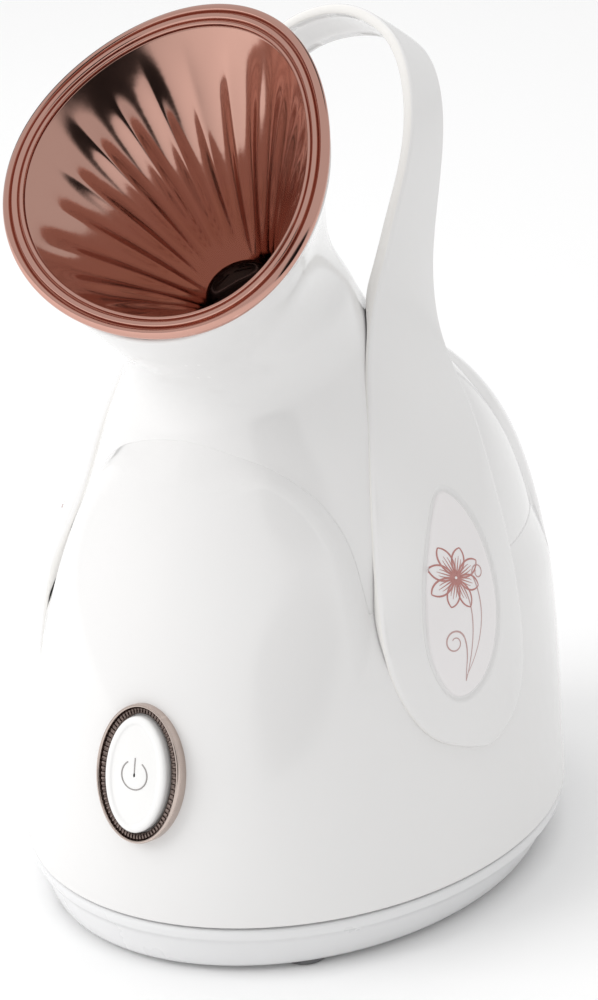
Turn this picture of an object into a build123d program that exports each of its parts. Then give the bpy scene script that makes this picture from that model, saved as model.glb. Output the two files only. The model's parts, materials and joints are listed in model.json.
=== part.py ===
from build123d import *
import math
import os
import numpy as np

os.makedirs("parts", exist_ok=True)

# Facial steamer, millimetres. +Z is up and the front, with the button, faces -Y.
# The outlines below stand on the underside of the base tray (z = 0); the whole model is then
# lifted by the height of the rubber feet and centred over the origin along Y.

# ---- driving dimensions: housing -------------------------------------------------------------
# Outline of the housing from the side, as (y, z): the front line, the back line, and the half
# width in X of the oval that joins the two points of each station.
FRONT_LINE = [(-85, 14), (-83.5, 30), (-77, 60), (-67, 90), (-55, 114), (-49, 133),
              (-47, 148), (-52, 158), (-59, 164), (-70.5, 175), (-74.1, 178.5)]
BACK_LINE = [(85, 14), (88, 30), (89.5, 60), (85.5, 90), (76, 116), (56, 138),
             (30, 158), (14, 176), (1.5, 200), (-11, 247.7), (-12.6, 253.7)]
HALF_WIDTH = [74, 72, 69.5, 65, 57, 47, 36, 34, 33.5, 46.5, 48.8]
# Offsets of the two skins from that outline, one for each station.
BODY_SWELL = [0, 0, 0, 0.4, 0.8, 0.8, 0.8]
NECK_SINK = [2.5, 2.5, 2.5, 2.2, 1.9, 1.8, 1.5, 0.8, 0.4, 0.8, 0.8]
BODY_STATIONS = (0, 6)
NECK_STATIONS = (2.5, 10)
EGG_START = 8
ROWS_PER_STATION = 4
POINTS_PER_ROW = 17
SHELL_WALL = 2.2
NECK_WALL = 1.8
SEAM_HEIGHT = 14.0
# Arched openings of the body skin, as (x, z), where the neck rises out of it.
FRONT_ARCH = [(0, 138), (17, 134), (31, 125), (41.4, 110.4), (48.3, 92)]
REAR_ARCH = [(0, 141), (24, 138), (38, 129), (46, 112), (52, 92)]
ARCH_SPLIT_Y = -12.0
NECK_LAP = 5.0

# ---- base tray, feet and inlet ---------------------------------------------------------------
TRAY_RINGS = [(0.0, 67.0, 79.5, -1.5), (9.5, 73.2, 84.4, 0.0), (13.7, 73.4, 84.6, 0.0)]
TRAY_WALL = 2.4
FOOT_HEIGHT = 1.5
FOOT_RADIUS = 6.0
FOOT_SPOTS = [(36, -60), (-36, -60), (36, 58), (-36, 58)]
POST_SPOTS = [(52, -36), (-52, -36), (52, 36), (-52, 36)]
POST_RADIUS = 4.5
POST_TOP = 34.0
SCREW_RADIUS = 1.5
HEAD_RADIUS = 3.0
HEAD_HEIGHT = 2.0
GLAND_Y = 84.0
GLAND_Z = 8.0
GLAND_BORE = 3.3
GLAND_RADIUS = 5.4

# ---- handle: outer edges of each cross-section, from the foot of the petal to the apex ---------
# front edge, rear edge, rise of the outer face over its chord, thickness
HANDLE_STATIONS = [
    ((69.5, -17.0, 48.3), (71.0, -7.1, 48.3), 0.5, 6.0),
    ((67.1, -24.5, 51.4), (71.3, -0.1, 51.8), 1.6, 7.0),
    ((62.5, -33.9, 59.1), (70.7, 6.9, 59.5), 4.0, 9.0),
    ((56.6, -39.0, 74.3), (69.0, 10.6, 75.0), 5.7, 10.0),
    ((52.4, -37.3, 91.6), (65.9, 12.6, 92.0), 6.0, 10.0),
    ((46.9, -29.5, 108.7), (60.6, 14.8, 110.3), 6.2, 9.0),
    ((43.2, -22.4, 127.0), (52.8, 19.6, 127.4), 5.4, 8.5),
    ((37.9, -12.6, 146.4), (44.8, 24.8, 137.8), 3.4, 7.0),
    ((33.9, -1.3, 162.4), (37.2, 30.0, 148.5), 1.5, 4.4),
    ((32.6, 9.2, 174.6), (33.2, 34.6, 161.5), 0.8, 3.6),
    ((31.2, 18.4, 184.0), (31.2, 40.6, 174.0), 0.4, 3.2),
    ((30.4, 28.2, 196.5), (30.4, 47.0, 189.0), 0.3, 3.0),
    ((28.2, 35.9, 209.5), (28.2, 53.4, 202.6), 0.3, 3.0),
    ((22.6, 42.6, 221.4), (22.6, 59.9, 213.0), 0.3, 3.0),
    ((13.4, 47.3, 229.2), (13.4, 64.9, 219.0), 0.3, 3.0),
    ((0.0, 49.4, 232.4), (0.0, 67.4, 221.2), 0.3, 3.0),
]
# Teardrop badge on each petal, as (y, z).
BADGE_OUTLINE = [(-7.8, 118.2), (-12.8, 115.4), (-18.2, 107.6), (-24.8, 96.5), (-28.9, 84.0), (-28.3, 72.5),
                 (-22.8, 64.8), (-12.4, 68.0), (-4.8, 77.4), (-1.2, 88.0), (-0.6, 100.0), (-2.8, 110.8)]
BADGE_DEPTH = 1.0
BADGE_GAP = 0.12
BADGE_MIDDLE = (-14, 90)
BADGE_HALF_WIDTH = 14.0
HANDLE_SCREW_SPOTS = [(-14, 69), (-13, 80.5)]
HANDLE_SCREW_X = [67.3, 65.32]
HANDLE_HEAD_HEIGHT = 0.68
HANDLE_HEAD_RADIUS = 2.4

# ---- nozzle ------------------------------------------------------------------------------------
RIM_CENTRE = (-40.64, 211.42)
RIM_TILT = 39.43
RIM_RADIUS = 43.8
RIM_SADDLE_RADIUS = 153.0
RIM_SADDLE_SINK = 3.54
RING_HALF_WIDTH = 3.2
RING_HALF_HEIGHT = 1.9
HOOD_CLEARANCE = 2.3
THROAT_CENTRE = (-13.0, 169.5)
FUNNEL_WALL = 1.3
THROAT_RADIUS = 9.2
COLLAR_RADIUS = 10.8
COLLAR_BORE = 9.8
COLLAR_LAP = 0.4
COLLAR_LENGTH = 12.0
RIM_INNER_RADIUS = 41.0
FUNNEL_BOW = 2.0

# ---- steam path ----------------------------------------------------------------------------------
SOCKET_BORE = 10.86
SOCKET_RADIUS = 12.6
DUCT_BORE = 8.2
DUCT_RADIUS = 9.8
SOCKET_DEPTH = 15.0
SOCKET_TOP = -3.0
WEB_THICKNESS = 2.0
GRILLE_THICKNESS = 1.6
GRILLE_SLOTS = 12

# ---- tank and heater, on one vertical axis --------------------------------------------------------
TANK_Y = 18.0
TANK_RADIUS = 34.0
TANK_WALL = 1.8
FRAME_TOP = 28.5
FRAME_THICKNESS = 2.5
HEATER_TOP = 62.0
TANK_TOP = 112.0
SEAL_THICKNESS = 2.0
LID_THICKNESS = 3.0

# ---- button group, in a plane that leans back with the front of the housing ------------------------
BUTTON_CENTRE = (0, -78.6, 54.8)
BUTTON_LEAN = 15.0
BEZEL_HALF = (13.1, 19.0)
LIGHT_RING_HALF = (11.6, 17.5)
CAP_HALF = (9.5, 15.9)
CAP_GAP = 0.35
BUTTON_TRAVEL = 1.5
BOARD_DEPTH = 14.0
BOARD_SIZE = (30.0, 62.0, 1.6)
BOARD_HOLE_Y = 27.0


def natural_spline(values):
    """Natural cubic through values at 0, 1, 2, ... as a function of the station number."""
    knots = np.array(values, float)
    count = len(knots)
    matrix, right = np.eye(count), np.zeros_like(knots)
    for i in range(1, count - 1):
        matrix[i, i - 1:i + 2] = (1, 4, 1)
        right[i] = 6 * (knots[i - 1] - 2 * knots[i] + knots[i + 1])
    bend = np.linalg.solve(matrix, right)

    def at(u):
        i = min(int(u), count - 2)
        t = u - i
        line = knots[i] * (1 - t) + knots[i + 1] * t
        return line + ((t ** 3 - t) * bend[i + 1] + ((1 - t) ** 3 - (1 - t)) * bend[i]) / 6

    return at


front_at = natural_spline(FRONT_LINE)
back_at = natural_spline(BACK_LINE)
half_at = natural_spline(HALF_WIDTH)
body_swell_at = natural_spline(BODY_SWELL)
neck_sink_at = natural_spline(NECK_SINK)


def egg(turn):
    """Growth of the nozzle rim's radius, with turn measured from the top of the rim."""
    return 1 - 0.015 * math.cos(turn) - 0.004 * math.cos(2 * turn) + 0.039 * math.cos(3 * turn)


def skin_point(u, turn, inset):
    """Point of the oval at station u, turn radians from its side point towards the back."""
    front, back = front_at(u), back_at(u)
    span = math.hypot(*(back - front))
    blend = min(max(u - EGG_START, 0), 1)
    blend = blend * blend * (3 - 2 * blend)
    swell = 1 + blend * (egg(math.pi / 2 - turn) - 1)
    reach = (back - front) / span * (span / 2 - inset) * swell * math.sin(turn)
    y, z = (front + back) / 2 + reach
    return Vector((half_at(u) - inset) * swell * math.cos(turn), float(y), float(z))


def skin_sides(inset_at, stations):
    """Right and left surfaces of a skin, with the closed wires at its lower and upper end."""
    first, last = stations
    rows = int((last - first) * ROWS_PER_STATION)
    faces = []
    for side in (1, -1):
        grid = []
        for row in range(rows + 1):
            u = first + (last - first) * row / rows
            turns = [math.pi * (k / (POINTS_PER_ROW - 1) - 0.5) for k in range(POINTS_PER_ROW)]
            points = [skin_point(u, turn, inset_at(u)) for turn in turns]
            grid.append([Vector(side * p.X, p.Y, p.Z) for p in points])
        faces.append(Face.make_surface_from_array_of_points(grid, tol=0.01, min_deg=3, max_deg=5))
    wires = []
    for u in stations:
        target = skin_point(u, 0, inset_at(u))
        edges = []
        for side, face in zip((1, -1), faces):
            spot = Vector(side * target.X, target.Y, target.Z)
            edges.append(min(face.edges(), key=lambda edge: (edge @ 0.5 - spot).length))
        wires.append(Wire(edges))
    return faces, wires


def skin_block(inset_at, stations):
    """Solid filled up to a skin."""
    faces, wires = skin_sides(inset_at, stations)
    return Solid(Shell(faces + [Face(wire) for wire in wires]))


def skin_wall(outer_at, inner_at, stations):
    """Solid between two skins."""
    outer_faces, outer_wires = skin_sides(outer_at, stations)
    inner_faces, inner_wires = skin_sides(inner_at, stations)
    ends = [Face(outer, [inner]) for outer, inner in zip(outer_wires, inner_wires)]
    return Solid(Shell(outer_faces + inner_faces + ends))


def body_at(inset):
    return lambda u: inset - float(body_swell_at(u))


def neck_at(inset):
    return lambda u: inset + float(neck_sink_at(u))


def body_solid(inset):
    """Everything inside the body skin, from the base seam up past the arches."""
    return skin_block(body_at(inset), BODY_STATIONS)


def neck_solid(inset):
    """Everything inside the neck and hood skin."""
    return skin_block(neck_at(inset), NECK_STATIONS)


def arch_prism(outline, drop, y_from, y_to):
    """Block above an arch seen from the front, lowered by drop and running from y_from to y_to."""
    right = [(x, z - drop) for x, z in outline]
    left = [(-x, z) for x, z in reversed(right[1:])]
    foot_x, foot_z = right[-1]
    wide, high = 120, 300
    curve = Spline([(x, 0, z) for x, z in left + right])
    sides = Polyline((foot_x, 0, foot_z), (wide, 0, foot_z), (wide, 0, high), (-wide, 0, high),
                     (-wide, 0, foot_z), (-foot_x, 0, foot_z))
    face = make_face([curve, sides])
    slab = extrude(face, amount=y_to - y_from, dir=(0, 1, 0))
    return Pos(0, y_from, 0) * slab


def arches(drop):
    """Region above both arches: the front one ahead of the split, the rear one behind it."""
    front = arch_prism(FRONT_ARCH, drop, -150, ARCH_SPLIT_Y)
    rear = arch_prism(REAR_ARCH, drop, ARCH_SPLIT_Y, 150)
    return front + rear


# ---- frames for tilted sub-assemblies ----------------------------------------------------------
tilt = math.radians(RIM_TILT)
rim_plane = Plane(origin=(0, *RIM_CENTRE), x_dir=(1, 0, 0), z_dir=(0, -math.cos(tilt), math.sin(tilt)))
pull_y = RIM_CENTRE[0] - THROAT_CENTRE[0]
pull_z = RIM_CENTRE[1] - THROAT_CENTRE[1]
pull_length = math.hypot(pull_y, pull_z)
pull_axis = (0, pull_y / pull_length, pull_z / pull_length)
throat_plane = Plane(origin=(0, *THROAT_CENTRE), x_dir=(1, 0, 0), z_dir=pull_axis)
lean = math.radians(BUTTON_LEAN)
button_plane = Plane(origin=BUTTON_CENTRE, x_dir=(1, 0, 0),
                     z_dir=(0, -math.cos(lean), math.sin(lean)))


def rod(plane, radius, start, end, x=0.0, y=0.0):
    """Cylinder along a plane's normal, from start to end."""
    return plane * Pos(x, y, start) * Cylinder(radius, end - start,
                                               align=(Align.CENTER, Align.CENTER, Align.MIN))


def tube(plane, outer, inner, start, end):
    return rod(plane, outer, start, end) - rod(plane, inner, start - 1, end + 1)


def oval(plane, half, start, end):
    """Elliptical block along a plane's normal."""
    return plane * Pos(0, 0, start) * extrude(Ellipse(*half), amount=end - start)


def upright(x, y):
    return Plane(origin=(x, y, 0))


def saddle_cutter(sink):
    """Big cylinder whose underside is the saddle of the nozzle rim, sunk below it by sink."""
    depth = RIM_SADDLE_RADIUS - RIM_SADDLE_SINK - sink
    drum = Cylinder(RIM_SADDLE_RADIUS, 300, rotation=(90, 0, 0))
    return rim_plane * Pos(0, 0, depth) * drum


# ---- housing -------------------------------------------------------------------------------------
def make_main_shell():
    shell = skin_wall(body_at(0), body_at(SHELL_WALL), BODY_STATIONS) - arches(0)
    shell -= oval(button_plane, LIGHT_RING_HALF, -15, 15)
    inside = body_solid(SHELL_WALL / 2)
    for x, y in POST_SPOTS:
        post = rod(upright(x, y), POST_RADIUS, SEAM_HEIGHT, POST_TOP)
        reach = 14
        rib = Pos(x + math.copysign(reach / 2, x), y, SEAM_HEIGHT + 1) * Box(
            reach, 2, POST_TOP - SEAM_HEIGHT - 1, align=(Align.CENTER, Align.CENTER, Align.MIN))
        shell += (post + rib) & inside
        shell -= rod(upright(x, y), SCREW_RADIUS, SEAM_HEIGHT - 1, POST_TOP - 4)
    for side in (1, -1):
        boss = rod(button_plane, 4, -BOARD_DEPTH, 0, y=side * BOARD_HOLE_Y)
        shell += boss & inside
        shell -= rod(button_plane, 1.1, -BOARD_DEPTH - 1, -4, y=side * BOARD_HOLE_Y)
    for y, z in HANDLE_SCREW_SPOTS:
        for side in (1, -1):
            screw_way = Plane(origin=(0, y, z), x_dir=(0, 1, 0), z_dir=(side, 0, 0))
            boss = rod(screw_way, 4.2, 48, 75)
            shell += boss & inside
            shell -= rod(screw_way, SCREW_RADIUS, 46, 80)
    return shell


def make_neck_hood():
    skin = skin_wall(neck_at(0), neck_at(NECK_WALL), NECK_STATIONS) & arches(NECK_LAP)
    web = rod(throat_plane, 60, -SOCKET_DEPTH, -SOCKET_DEPTH + WEB_THICKNESS)
    web = (web & neck_solid(NECK_WALL / 2)) - rod(throat_plane, SOCKET_RADIUS, -40, 5)
    hood = skin + web
    return hood - saddle_cutter(HOOD_CLEARANCE)


def tray_solid(inset, floor):
    rings = [Pos(0, y, max(z, floor)) * Ellipse(half_x - inset, half_y - inset)
             for z, half_x, half_y, y in TRAY_RINGS]
    return Solid.make_loft([ring.wire() for ring in rings], ruled=True)


def make_base_tray():
    tray = tray_solid(0, 0) - tray_solid(TRAY_WALL, TRAY_WALL)
    top = TRAY_RINGS[-1][0]
    for x, y in POST_SPOTS:
        tray += rod(upright(x, y), POST_RADIUS, TRAY_WALL / 2, top)
        tray -= rod(upright(x, y), SCREW_RADIUS + 0.2, -1, top + 1)
        tray -= rod(upright(x, y), HEAD_RADIUS + 0.3, -1, HEAD_HEIGHT + 0.2)
    for x, y in FOOT_SPOTS:
        tray -= rod(upright(x, y), FOOT_RADIUS, -1, 1)
    back = Plane(origin=(0, GLAND_Y, GLAND_Z), x_dir=(1, 0, 0), z_dir=(0, 1, 0))
    return tray - rod(back, GLAND_RADIUS - 1.2, -12, 12)


def make_feet():
    pads = [rod(upright(x, y), FOOT_RADIUS, -FOOT_HEIGHT, 1) for x, y in FOOT_SPOTS]
    return Compound([fillet(pad.edges().group_by(Axis.Z)[0], 0.6) for pad in pads])


def make_screw(plane, head_at, length, head=HEAD_RADIUS, shank=SCREW_RADIUS, height=HEAD_HEIGHT):
    """Cross-head screw whose head rests at head_at and whose shank runs along the plane's normal."""
    body = rod(plane, head, head_at - height, head_at) + rod(plane, shank, head_at, head_at + length)
    top = plane * Pos(0, 0, head_at - height)
    return body - top * Box(head * 1.4, 0.7, height) - top * Box(0.7, head * 1.4, height)


def make_base_screws():
    return Compound([make_screw(upright(x, y), HEAD_HEIGHT + 0.2, 26) for x, y in POST_SPOTS])


def make_cord_gland():
    back = Plane(origin=(0, GLAND_Y, GLAND_Z), x_dir=(1, 0, 0), z_dir=(0, 1, 0))
    flange = rod(back, GLAND_RADIUS, 1.2, 3.4)
    barrel = rod(back, GLAND_RADIUS - 1.25, -7, 1.2)
    nut = rod(back, GLAND_RADIUS - 0.6, -7, -4.6)
    gland = flange + barrel + nut - rod(back, GLAND_BORE, -9, 6)
    return gland - make_tray_shadow()


def make_tray_shadow():
    """Tray skin around the gland, which the gland's flange is shaped to."""
    return tray_solid(0, 0) - tray_solid(TRAY_WALL, TRAY_WALL) - rod(
        Plane(origin=(0, GLAND_Y, GLAND_Z), x_dir=(1, 0, 0), z_dir=(0, 1, 0)), GLAND_RADIUS - 1.2, -12, 12)


# ---- handle ----------------------------------------------------------------------------------------
def handle_wires(grow):
    """Closed cross-sections of the handle from one petal to the other, thicker by grow outside."""
    right = HANDLE_STATIONS
    left = [((-f[0], f[1], f[2]), (-r[0], r[1], r[2]), rise, thick)
            for f, r, rise, thick in reversed(right[:-1])]
    stations = right + left
    mids = [(Vector(*f) + Vector(*r)) * 0.5 for f, r, rise, thick in stations]
    wires = []
    for i, (f, r, rise, thick) in enumerate(stations):
        front, rear = Vector(*f), Vector(*r)
        along = mids[min(i + 1, len(mids) - 1)] - mids[max(i - 1, 0)]
        across = (rear - front).normalized()
        out = along.cross(across).normalized()
        if out.dot(mids[i] - Vector(0, 20, 110)) < 0:
            out = out * -1
        front, rear = front + out * grow, rear + out * grow
        crown = (front + rear) * 0.5 + out * rise
        low_front, low_rear, low_crown = (p - out * (thick + grow) for p in (front, rear, crown))
        wires.append(Wire([
            Edge.make_three_point_arc(front, crown, rear),
            Edge.make_line(rear, low_rear),
            Edge.make_three_point_arc(low_rear, low_crown, low_front),
            Edge.make_line(low_front, front),
        ]))
    return wires


def handle_blank(grow):
    return Solid.make_loft(handle_wires(grow))


def badge_prism(side, inset):
    """Teardrop outline, drawn in by inset, pushed through one petal along X."""
    middle_y, middle_z = BADGE_MIDDLE
    scale = 1 - inset / BADGE_HALF_WIDTH
    points = [(middle_y + (y - middle_y) * scale, middle_z + (z - middle_z) * scale) for y, z in BADGE_OUTLINE]
    outline = make_face(Plane.YZ * Spline(points, periodic=True))
    return Pos(side * 40, 0, 0) * extrude(outline, amount=60 * side, dir=(1, 0, 0))


def badge_layer(side, inset):
    """Skin of one petal, as deep as a badge, inside the teardrop outline."""
    layer = badge_prism(side, inset) & handle_blank(0)
    return layer - Pos(-side * BADGE_DEPTH, 0, 0) * handle_blank(0)


def make_handle():
    handle = handle_blank(0) - body_solid(0) - neck_solid(-0.2)
    for side in (1, -1):
        handle -= badge_layer(side, 0)
        for (y, z), x in zip(HANDLE_SCREW_SPOTS, HANDLE_SCREW_X):
            screw_way = Plane(origin=(0, y, z), x_dir=(0, 1, 0), z_dir=(side, 0, 0))
            handle -= rod(screw_way, SCREW_RADIUS + 0.2, 40, 90)
            handle -= rod(screw_way, HANDLE_HEAD_RADIUS + 0.3, x, 90)
    return handle


def make_badge(side):
    return badge_layer(side, BADGE_GAP)


def make_handle_screws():
    """Screws that hold each petal to the bosses of the body, under the badges."""
    screws = []
    for side in (1, -1):
        for (y, z), x in zip(HANDLE_SCREW_SPOTS, HANDLE_SCREW_X):
            screw_way = Plane(origin=(0, y, z), x_dir=(0, 1, 0), z_dir=(-side, 0, 0))
            screws.append(make_screw(screw_way, -x, 8, HANDLE_HEAD_RADIUS, 1.4, HANDLE_HEAD_HEIGHT))
    return Compound(screws)


# ---- nozzle ----------------------------------------------------------------------------------------
def rim_point(turn, radius, lift=0.0):
    """Point of the egg-shaped, saddle-bent rim; turn is measured from the top of the rim."""
    reach = radius * egg(turn)
    height = -RIM_SADDLE_SINK * math.cos(2 * turn) + lift
    return rim_plane.from_local_coords(Vector(reach * math.sin(turn), reach * math.cos(turn), height))


def funnel_point(u, turn, thick):
    """Point of the funnel: u runs from 0 at the throat to 1 at the rim."""
    rim = rim_point(turn, RIM_INNER_RADIUS + thick)
    throat = throat_plane.from_local_coords(
        Vector((THROAT_RADIUS + thick) * math.sin(turn), (THROAT_RADIUS + thick) * math.cos(turn), 0))
    return throat + (rim - throat) * u + rim_plane.z_dir * FUNNEL_BOW * math.sin(math.pi * u)


def ring_wall(outer_point, inner_point, rows, columns=17):
    """Thin-walled ring between two surfaces given as functions of (u, turn)."""
    skins = []
    for point in (outer_point, inner_point):
        faces = []
        for side in (0, math.pi):
            grid = [[point(row / rows, side + math.pi * k / (columns - 1)) for k in range(columns)]
                    for row in range(rows + 1)]
            faces.append(Face.make_surface_from_array_of_points(grid, tol=0.005, min_deg=3, max_deg=5))
        skins.append(faces)
    ends = []
    for row in (0, 1):
        for side in (0, math.pi):
            grid = [[skin(row, side + math.pi * k / (columns - 1)) for k in range(columns)]
                    for skin in (outer_point, inner_point)]
            edges = []
            for k, faces in enumerate(skins):
                spot = grid[k][columns // 2]
                edges.append(min((e for f in faces for e in f.edges()),
                                 key=lambda edge: (edge @ 0.5 - spot).length))
            ends.append(Face.make_surface_from_curves(*edges))
    return Solid(Shell(skins[0] + skins[1] + ends))


def ring_point(turn, roll, shrink=0.0):
    """Point of the rolled ring; roll goes round its oval section."""
    radius = RIM_RADIUS + (RING_HALF_WIDTH - shrink) * math.cos(roll)
    return rim_point(turn, radius, (RING_HALF_HEIGHT - shrink) * math.sin(roll))


def make_trim_ring():
    """Rolled ring on the rim, with an oval section."""
    faces = []
    for first_turn in (0, math.pi):
        for first_roll in (0, math.pi):
            grid = [[ring_point(first_turn + math.pi * i / 24, first_roll + math.pi * k / 8) for k in range(9)]
                    for i in range(25)]
            faces.append(Face.make_surface_from_array_of_points(grid, tol=0.005, min_deg=3, max_deg=5))
    return Solid(Shell(faces))


def make_funnel():
    wall = ring_wall(lambda u, turn: funnel_point(u, turn, FUNNEL_WALL),
                     lambda u, turn: funnel_point(u, turn, 0), 12)
    collar = tube(throat_plane, COLLAR_RADIUS, COLLAR_BORE, -COLLAR_LENGTH, COLLAR_LAP)
    return (wall + collar) - make_trim_ring()


# ---- steam path --------------------------------------------------------------------------------------
def make_steam_duct():
    lid_top = TANK_TOP + SEAL_THICKNESS + LID_THICKNESS
    pipe = tube(throat_plane, DUCT_RADIUS, DUCT_BORE, -90, -SOCKET_DEPTH + 2)
    socket = tube(throat_plane, SOCKET_RADIUS, SOCKET_BORE, -SOCKET_DEPTH + 2, SOCKET_TOP)
    step = tube(throat_plane, SOCKET_RADIUS, DUCT_BORE, -SOCKET_DEPTH, -SOCKET_DEPTH + 2)
    duct = pipe + socket + step
    return duct - Pos(0, 0, lid_top) * Box(200, 200, 100, align=(Align.CENTER, Align.CENTER, Align.MAX))


def make_steam_outlet():
    """Slotted disc at the bottom of the throat that breaks up drops."""
    top = -SOCKET_DEPTH + 2
    disc = rod(throat_plane, DUCT_BORE, top - GRILLE_THICKNESS, top)
    for k in range(GRILLE_SLOTS):
        slot = Rot(0, 0, 360 / GRILLE_SLOTS * k) * Pos(5, 0, top - 1) * Box(4.5, 0.9, 4)
        disc -= throat_plane * slot
    return disc


def make_outlet_seal():
    top = -SOCKET_DEPTH + 2
    return tube(throat_plane, SOCKET_BORE, DUCT_BORE + 0.4, top, top + 0.8)


def make_ion_electrode():
    top = -SOCKET_DEPTH + 2 - GRILLE_THICKNESS
    return rod(throat_plane, 0.8, top - 12, top)


# ---- tank and heater ---------------------------------------------------------------------------------
tank_axis = upright(0, TANK_Y)


def duct_hole(radius):
    return rod(throat_plane, radius, -90, 0)


def make_water_tank():
    return rod(tank_axis, TANK_RADIUS, HEATER_TOP, TANK_TOP) - rod(
        tank_axis, TANK_RADIUS - TANK_WALL, HEATER_TOP + TANK_WALL, TANK_TOP + 1)


def make_tank_seal():
    return tube(tank_axis, TANK_RADIUS, TANK_RADIUS - 3, TANK_TOP, TANK_TOP + SEAL_THICKNESS)


def make_tank_lid():
    bottom = TANK_TOP + SEAL_THICKNESS
    return rod(tank_axis, TANK_RADIUS, bottom, bottom + LID_THICKNESS) - duct_hole(DUCT_BORE)


def make_duct_seal():
    lid_top = TANK_TOP + SEAL_THICKNESS + LID_THICKNESS
    return (duct_hole(DUCT_RADIUS + 2.2) - duct_hole(DUCT_RADIUS)) & (
        Pos(0, 0, lid_top) * Box(200, 200, 2.2, align=(Align.CENTER, Align.CENTER, Align.MIN)))


def make_heater_housing():
    cup = rod(tank_axis, TANK_RADIUS, FRAME_TOP, HEATER_TOP)
    return cup - rod(tank_axis, TANK_RADIUS - 2, FRAME_TOP + 2, HEATER_TOP + 1)


def make_heater_plate():
    return rod(tank_axis, TANK_RADIUS - 2.2, HEATER_TOP - 4, HEATER_TOP)


def make_heater_element():
    return Pos(0, TANK_Y, HEATER_TOP - 4) * Box(44, 26, 10, align=(Align.CENTER, Align.CENTER, Align.MAX))


def make_thermostat():
    return rod(upright(0, TANK_Y + 22), 6, HEATER_TOP - 9, HEATER_TOP - 4)


def make_thermal_fuse():
    lengthwise = Plane(origin=(0, TANK_Y - 20, HEATER_TOP - 6.2), x_dir=(0, 1, 0), z_dir=(1, 0, 0))
    return rod(lengthwise, 2.2, -7, 7) + rod(lengthwise, 0.6, -13, 13)


def make_inner_frame():
    """Oval deck on four legs that carries the heater housing above the tray."""
    deck = extrude(Pos(0, 0, FRAME_TOP - FRAME_THICKNESS) * Ellipse(58, 62), amount=FRAME_THICKNESS)
    for x, y in POST_SPOTS:
        deck -= rod(upright(x, y), POST_RADIUS + 1.5, 0, 60)
    deck -= rod(upright(0, -44), 8, 0, 60)
    for x, y in ((30, -38), (-30, -38), (30, 44), (-30, 44)):
        deck += rod(upright(x, y), 4, TRAY_WALL, FRAME_TOP - FRAME_THICKNESS)
    return deck


def make_ion_generator():
    box = Box(26, 18, 14, align=(Align.CENTER, Align.CENTER, Align.MIN))
    return Pos(-34, -28, FRAME_TOP) * fillet(box.edges().filter_by(Axis.Z), 2)


def make_power_wires():
    """Two insulated wires from the inlet to the control board's foot."""
    wires = []
    for side in (1, -1):
        x = side * 2.2
        path = FilletPolyline((x, GLAND_Y - 12, GLAND_Z), (x * 2, 44, GLAND_Z + 4), (x * 2, -28, GLAND_Z + 4),
                              (x * 2, -44, GLAND_Z + 12), (x * 2, -44, 38), (x * 2, -62, 46), radius=5)
        wires.append(sweep(Plane(origin=path @ 0, z_dir=path % 0) * Circle(1.2), path=path))
    return Compound(wires)


# ---- button group ------------------------------------------------------------------------------------
def grown(half, amount):
    return (half[0] + amount, half[1] + amount)


def make_button_bezel():
    flange = oval(button_plane, BEZEL_HALF, -0.6, 2.2)
    sleeve = oval(button_plane, grown(LIGHT_RING_HALF, -0.1), -6, 0)
    bezel = flange + sleeve - oval(button_plane, grown(CAP_HALF, CAP_GAP), -9, 9)
    bezel -= oval(button_plane, grown(LIGHT_RING_HALF, -0.3), 1.2, 9)
    return bezel - front_skin()


def front_skin():
    """Body skin around the button hole, which the bezel's flange is shaped to."""
    wall = skin_wall(body_at(0), body_at(SHELL_WALL), (0, 3))
    return wall - oval(button_plane, LIGHT_RING_HALF, -15, 15)


def make_light_ring():
    """Clear ring with a ribbed face between the bezel's lip and the cap."""
    outer, inner = grown(LIGHT_RING_HALF, -0.35), grown(CAP_HALF, CAP_GAP + 0.05)
    return oval(button_plane, outer, 1.2, 1.9) - oval(button_plane, inner, 0, 4)


def make_button_cap():
    cap = oval(button_plane, CAP_HALF, -3.0, 3.4)
    face_edges = cap.edges().filter_by(GeomType.ELLIPSE).sort_by(SortBy.DISTANCE)
    top = max(face_edges, key=lambda edge: button_plane.to_local_coords(edge @ 0.5).Z)
    return fillet(top, 1.2)


def make_switch_plunger():
    return rod(button_plane, 2.0, -BOARD_DEPTH + 6.2, -3.0)


def make_button_spring():
    return tube(button_plane, 3.4, 2.6, -BOARD_DEPTH + 4.4, -3.2)


def make_push_switch():
    body = button_plane * Pos(0, 0, -BOARD_DEPTH) * Box(8, 8, 4.2, align=(Align.CENTER, Align.CENTER, Align.MIN))
    stem = rod(button_plane, 1.5, -BOARD_DEPTH + 4.2, -BOARD_DEPTH + 4.5)
    return body + stem


def make_control_board():
    width, height, thick = BOARD_SIZE
    board = button_plane * Pos(0, 0, -BOARD_DEPTH - thick) * Box(
        width, height, thick, align=(Align.CENTER, Align.CENTER, Align.MIN))
    for side in (1, -1):
        board -= rod(button_plane, 1.5, -BOARD_DEPTH - 5, -BOARD_DEPTH + 1, y=side * BOARD_HOLE_Y)
    return board


def make_status_leds():
    leds = []
    for x, y in ((11, 0), (-11, 0), (0, 18), (0, -18)):
        leds.append(button_plane * Pos(x, y, -BOARD_DEPTH) * Box(
            3, 3, 1.4, align=(Align.CENTER, Align.CENTER, Align.MIN)))
    return Compound(leds)


def make_board_screws():
    board_back = Plane(origin=button_plane.origin, x_dir=(1, 0, 0), z_dir=button_plane.z_dir)
    screws = []
    for side in (1, -1):
        spot = board_back * Pos(0, side * BOARD_HOLE_Y, 0)
        plane = Plane(origin=spot.position, x_dir=(1, 0, 0), z_dir=button_plane.z_dir)
        screws.append(make_screw(plane, -BOARD_DEPTH - BOARD_SIZE[2], 7, head=2.4, shank=1.0))
    return Compound(screws)


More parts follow.
